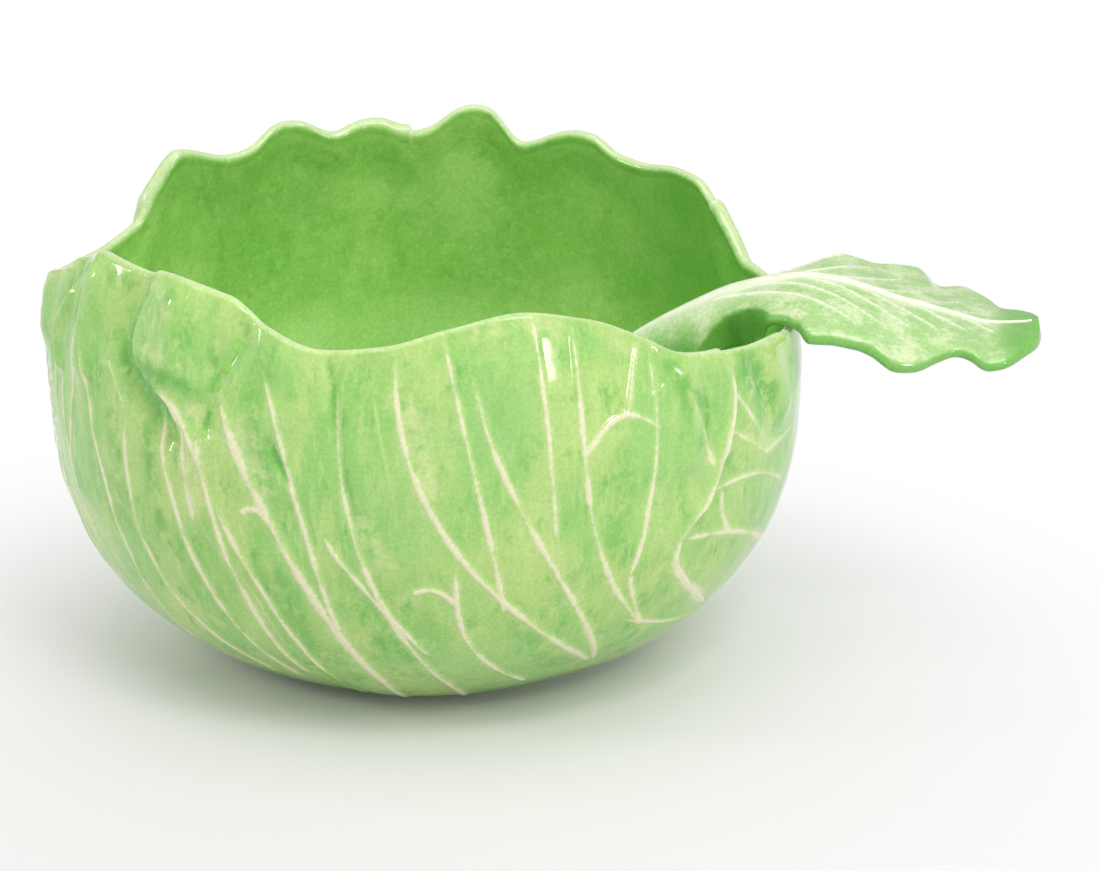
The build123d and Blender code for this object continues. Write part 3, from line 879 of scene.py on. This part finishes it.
def ladle_veins():
    """Side veins that leave the rib in turn, each shorter and narrower towards the tip."""
    made = []
    for count, first_x, last_x, reaches, spreads, way in (
            (6, 106, 214, (68, 14), (31, 9), -1), (6, 132, 210, (36, 18), (33, 11), 1)):
        for k in range(count):
            share = k / (count - 1)
            start = first_x + (last_x - first_x) * share
            reach = reaches[0] + (reaches[1] - reaches[0]) * share
            spread = spreads[0] + (spreads[1] - spreads[0]) * share
            route = [(start + reach * t, way * (2 + spread * t**1.3))
                     for t in np.linspace(0, 1, 6)]
            made.append((1.5 - 0.6 * share, 0.6, 0.92, route))
    return made


def ridge(x):
    """Ridge point, sideways direction and upward normal of the ladle, at each x."""
    x = np.asarray(x, float)
    y = curve([(p[0], p[1]) for p in RIDGE], x)
    z = curve([(p[0], p[2]) for p in RIDGE], x)
    rise = (curve([(p[0], p[2]) for p in RIDGE], x + 1)
            - curve([(p[0], p[2]) for p in RIDGE], x - 1)) / 2
    along = np.stack([np.ones_like(x), np.full_like(x, -0.12), rise], -1)
    along /= np.linalg.norm(along, axis=1, keepdims=True)
    sideways = np.array([0.12, 1, 0]) / math.hypot(0.12, 1) + 0 * along
    return np.stack([x, y, z], -1), sideways, np.cross(along, sideways)


def ladle_side(x, lengths, slopes, waves, curls, shares, fold=1.0, tuck=0.0):
    """Offsets across and down of one side's upper face, and its direction there."""
    length, slope = curve(lengths, x), np.radians(curve(slopes, x))
    wave, curl = curve(waves, x), np.radians(curve(curls, x))
    across, down, before = np.zeros_like(x), np.zeros_like(x), 0.0
    rows = []
    for share in shares:
        turn = slope * min(1.0, share / 0.7)
        rolled = np.clip((share - 1) * length / 6 + 1, 0, 1)
        turn = turn + curl * rolled**1.5 + np.radians(tuck) * smoothstep(fold, fold + 0.12, share)
        step = (share - before) * length
        across = across + step * np.cos(turn)
        down = down + step * np.sin(turn)
        before = share
        rows.append((across, down - wave * share**2, turn))
    return rows


def ladle_sheet(name, stations, node):
    """Part of the ladle between two places along x: a thin arched sheet, rounded at its
    edges, closed at both ends."""
    stations = np.asarray(stations, float)
    centre, sideways, upward = ridge(stations)
    shares = np.concatenate([np.linspace(0, 0.8, 22), np.linspace(0.825, 1.0, 10)])
    far = ladle_side(stations, FAR_LENGTH, FAR_SLOPE, FAR_WAVE, FAR_CURL, shares)
    fold, tuck = curve(NEAR_FOLD, stations), curve(NEAR_TUCK, stations)
    near = ladle_side(stations, NEAR_LENGTH, NEAR_SLOPE, NEAR_WAVE, NEAR_CURL, shares, fold, tuck)
    half = LADLE_THICKNESS / 2
    flat, loop, side_share, under = [], [], [], []

    def add_row(row, way, share, depth, out=0.0):
        """One line along the ladle: depth under the upper face, out past the edge."""
        across, down, turn = row
        aside = across - depth * np.sin(turn) + out * np.cos(turn)
        drop = down + depth * np.cos(turn) + out * np.sin(turn)
        loop.append(centre + sideways * (way * aside)[:, None] - upward * drop[:, None])
        flat.append(np.stack([stations, way * across], -1))
        side_share.append(np.full(len(stations), way * share))
        under.append(np.full(len(stations), depth / LADLE_THICKNESS))

    def sheet_side(rows, way, order, depth):
        for k in order:
            add_row(rows[k], way, shares[k], depth)

    def rounding(rows, way, reverse):
        angles = np.radians([25, 55, 90, 125, 155])
        for a in angles[::-1] if reverse else angles:
            add_row(rows[-1], way, 1.0, half - half * math.cos(a), half * math.sin(a))

    last = len(shares) - 1
    sheet_side(far, 1, range(last, 0, -1), 0.0)
    sheet_side(near, -1, range(0, last + 1), 0.0)
    rounding(near, -1, False)
    sheet_side(near, -1, range(last, -1, -1), LADLE_THICKNESS)
    sheet_side(far, 1, range(1, last + 1), LADLE_THICKNESS)
    rounding(far, 1, True)

    points = np.stack(loop)                       # around, along, xyz
    around, count = points.shape[:2]
    flat = np.stack(flat)
    side_share, under = np.stack(side_share), np.stack(under)
    spots = np.concatenate([flat.reshape(-1, 2), np.zeros((around * count, 1))], 1)
    routes = []
    for first, final, strength, route in ladle_veins():
        fine = spline(route)
        routes.append((first, final, strength, np.concatenate([fine, np.zeros((len(fine), 1))], 1)))
    near_vein, relief = field(spots, routes, 7.0)
    upper = (1 - smoothstep(0.05, 0.4, under)).ravel()
    lifted = (0.7 * relief * upper).reshape(around, count, 1) * upward[None]
    points = points + lifted
    x = np.broadcast_to(stations, (around, count))
    # Near-white along the ridge where the veins gather. Deeper green at the edges, below, down the stem's
    # sides and in the fold under the near edge is painted shade; the greener tip is the glaze's own
    # colour.
    pale = np.exp(-(flat[..., 1] / curve([(27, 3), (80, 4), (118, 11), (140, 9), (165, 5),
                                          (246, 3)], x)) ** 2)
    deep_green_and_shade = np.maximum.reduce([
        smoothstep(0.90, 1.0, np.abs(side_share)) * 0.85,
        0.9 * smoothstep(0.1, 0.7, under),
        0.8 * smoothstep(0.35, 1.0, side_share) * (1 - smoothstep(122, 140, x)),
        0.85 * smoothstep(0.15, 0.9, -side_share) * (1 - smoothstep(98, 114, x)),
        1.1 * smoothstep(fold - 0.02, fold + 0.12, -side_share) * (1 - smoothstep(138, 144, x)),
        smoothstep(220, 238, x) * 0.85])
    faces = []
    for i in range(around):
        n = (i + 1) % around
        for j in range(count - 1):
            faces.append([i * count + j, i * count + j + 1, n * count + j + 1, n * count + j])
    # The end faces have corners of their own, so the sheet's shading runs on past them.
    total = around * count
    faces.append([total + i for i in range(around)])
    faces.append([total + around + i for i in range(around)][::-1])

    def with_ends(values):
        flat_values = values.reshape(around, count, -1)
        return np.concatenate([flat_values.reshape(total, -1), flat_values[:, 0],
                               flat_values[:, -1]])

    values = {
        "vein": with_ends(np.where(upper > 0.3, near_vein, 4.0))[:, 0],
        "pale": with_ends(pale.ravel() * upper)[:, 0],
        "deep_green_and_shade": with_ends(deep_green_and_shade)[:, 0],
    }
    made = mesh_object(name, with_ends(points), faces, values)
    return finish_piece(made, LADLE_GLAZE, "ladle", node)


def ladle_rib():
    """The raised rib that runs up the stem and along the blade, tapering to the tip."""
    stations = np.linspace(78, 243, 150)
    centre, sideways, upward = ridge(stations)
    half = curve([(76, 1.2), (100, 3.8), (122, 6.0), (140, 4.2), (160, 2.6), (200, 1.8),
                  (243, 0.8)], stations)
    tall = curve([(76, 0.3), (100, 0.9), (125, 1.5), (160, 1.5), (200, 1.3), (243, 0.6)], stations)
    shape = np.linspace(-1.25, 1.25, 17)
    loop, share = [], []
    for u in shape:
        height = math.cos(u * math.pi / 2) ** 0.8 if abs(u) < 1 else 0.0
        sink = 0.0875 * half * u * u + (0.8 if abs(u) > 1 else 0.0)
        loop.append(centre + sideways * (u * half)[:, None]
                    + upward * (tall * height - sink)[:, None])
        share.append(np.full(len(stations), abs(u)))
    for u in (1.0, 0.0, -1.0):
        loop.append(centre + sideways * (u * half)[:, None] - upward * (1.8 + 0 * half)[:, None])
        share.append(np.full(len(stations), 1.2))
    points = np.stack(loop)
    around, count = points.shape[:2]
    faces = []
    for i in range(around):
        n = (i + 1) % around
        for j in range(count - 1):
            faces.append([i * count + j, n * count + j, n * count + j + 1, i * count + j + 1])
    faces.append([i * count for i in range(around)][::-1])
    faces.append([i * count + count - 1 for i in range(around)])
    made = mesh_object("ladle_rib", points.reshape(-1, 3), faces,
                       {"rib_edge": np.stack(share).ravel()})
    return finish_piece(made, RIB_GLAZE, "ladle", "ladle_midrib")


def ladle_scoop():
    """Round-bottomed cup with a rounded lip."""
    centre_x, centre_y = -2.0, 6.5
    bottom, top, radius, thick = 11.3, 42.0, 35.0, 4.0
    flat = radius * 0.42
    outer = [(flat * t, bottom) for t in (0.05, 0.5, 1.0)]
    for t in np.linspace(0.08, 1, 20):
        bend = t * math.pi / 2
        outer.append((flat + (radius - flat) * math.sin(bend) ** 0.9,
                      bottom + (top - 2 - bottom) * (1 - math.cos(bend)) ** 1.05))
    lip = [(radius - 2 + 2 * math.cos(a), top - 2 + 2 * math.sin(a))
           for a in np.radians(np.linspace(20, 180, 8))]
    inner = []
    for t in np.linspace(0.97, 0.05, 20):
        bend = t * math.pi / 2
        inner.append((flat - 3 + (radius - thick - flat + 3) * math.sin(bend) ** 0.9,
                      bottom + thick + (top - 2 - bottom - thick) * (1 - math.cos(bend)) ** 1.05))
    inner += [((flat - 3) * t, bottom + thick) for t in (1.0, 0.5, 0.05)]
    profile = outer + lip + inner
    columns = 128
    turn = np.arange(columns) * 2 * math.pi / columns
    rings = [np.stack([centre_x + r * np.cos(turn), centre_y + r * np.sin(turn),
                       np.full(columns, float(z))], -1) for r, z in profile]
    faces = grid_faces(len(rings), columns, around=True)
    faces.append(list(range(columns))[::-1])
    last = (len(rings) - 1) * columns
    faces.append(list(range(last, last + columns)))
    count = len(rings) * columns
    values = {"vein": np.full(count, 4.0), "pale": np.zeros(count), "deep_green_and_shade": np.full(count, 0.3)}
    made = mesh_object("ladle_cup", np.concatenate(rings), faces, values)
    return finish_piece(made, LADLE_GLAZE, "ladle", "ladle_scoop")


ladle_sheet("ladle_stem_leaf", np.concatenate([np.linspace(29.5, 60, 40), np.linspace(61, 118, 56)]),
            "ladle_stem")
ladle_sheet("ladle_blade", np.linspace(117.6, 245.5, 150), "ladle_leaf")
ladle_rib()
ladle_scoop()

# ---------------------------------------------------------------- table, light, camera

def white_table():
    """White table that glows more with distance from the pot, up to a white background: the glow is
    painted light that lifts the table's shade and shadows away from the pot.
    """
    size = 60.0
    mesh = bpy.data.meshes.new("white_table")
    mesh.from_pydata([(-size, -size, 0), (size, -size, 0), (size, size, 0), (-size, size, 0)], [],
                     [(0, 1, 2, 3)])
    made = bpy.data.objects.new("white_table", mesh)
    bpy.context.scene.collection.objects.link(made)
    m = Maker("white_paper")
    m.put(m.surface.inputs["Base Color"], (0.765, 0.743, 0.758, 1))
    m.surface.inputs["Roughness"].default_value = 0.55
    m.surface.inputs["Specular IOR Level"].default_value = 0.3
    distance = m.nodes.new("ShaderNodeVectorMath")
    distance.operation = "DISTANCE"
    m.links.new(m.place, distance.inputs[0])
    distance.inputs[1].default_value = (-0.01, -0.17, 0)
    # Painted light: the glow washes out the table's shadows a short way from the pot.
    far = m.ramp(distance.outputs["Value"], 0.07, 0.40)
    bright = m.nodes.new("ShaderNodeEmission")
    bright.inputs["Color"].default_value = (1, 1, 1, 1)
    bright.inputs["Strength"].default_value = 1.0
    joined = m.nodes.new("ShaderNodeMixShader")
    m.links.new(far, joined.inputs[0])
    m.links.new(m.surface.outputs[0], joined.inputs[1])
    m.links.new(bright.outputs[0], joined.inputs[2])
    m.links.new(joined.outputs[0], m.nodes["Material Output"].inputs["Surface"])
    made.data.materials.append(m.material)


POT_MIDDLE = (0, 0, 0.1)


def area_light(name, place, size, power, tall=None):
    """Rectangular lamp in metres and watts, turned to the middle of the pot."""
    data = bpy.data.lights.new(name, "AREA")
    data.shape = "RECTANGLE"
    data.size = size
    data.size_y = tall or size
    data.energy = power
    made = bpy.data.objects.new(name, data)
    bpy.context.scene.collection.objects.link(made)
    made.location = place
    direction = Vector(POT_MIDDLE) - Vector(place)
    made.rotation_euler = direction.to_track_quat("-Z", "Y").to_euler()


white_table()
world = bpy.data.worlds.new("studio")
bpy.context.scene.world = world
world.use_nodes = True
world.node_tree.nodes["Background"].inputs["Color"].default_value = (1, 1, 1, 1)
world.node_tree.nodes["Background"].inputs["Strength"].default_value = 0.58


def from_side(azimuth, height, away):
    """A place round the pot: degrees from +X, degrees above its middle, metres away."""
    a, h = math.radians(azimuth), math.radians(height)
    return (away * math.cos(h) * math.cos(a), away * math.cos(h) * math.sin(a),
            POT_MIDDLE[2] + away * math.sin(h))


area_light("key_right", from_side(305, 52, 1.9), 0.9, 12.2)
area_light("top_soft", from_side(270, 80, 1.8), 1.4, 9.5)
area_light("wall_left", from_side(180, 16, 1.6), 1.0, 2.0)
area_light("window_right", from_side(313, 15, 1.5), 0.16, 2.8, 0.34)
area_light("window_high", from_side(300, 60, 1.5), 0.12, 1.1, 0.2)
area_light("window_left", from_side(194, 25, 1.5), 0.14, 2.0, 0.24)

camera_data = bpy.data.cameras.new("camera")
camera = bpy.data.objects.new("camera", camera_data)
bpy.context.scene.collection.objects.link(camera)
bpy.context.scene.camera = camera
elevation = math.radians(21.5)
reach = 1100 * mm
aim = (50 * mm, 0.0, 72.4 * mm)
camera.location = (aim[0], -reach * math.cos(elevation), aim[2] + reach * math.sin(elevation))
camera.rotation_euler = (math.pi / 2 - elevation, 0, 0)
camera_data.sensor_width = 36.0
camera_data.lens = 86.76
camera_data.clip_start = 0.01
bpy.context.scene.view_settings.view_transform = "Standard"
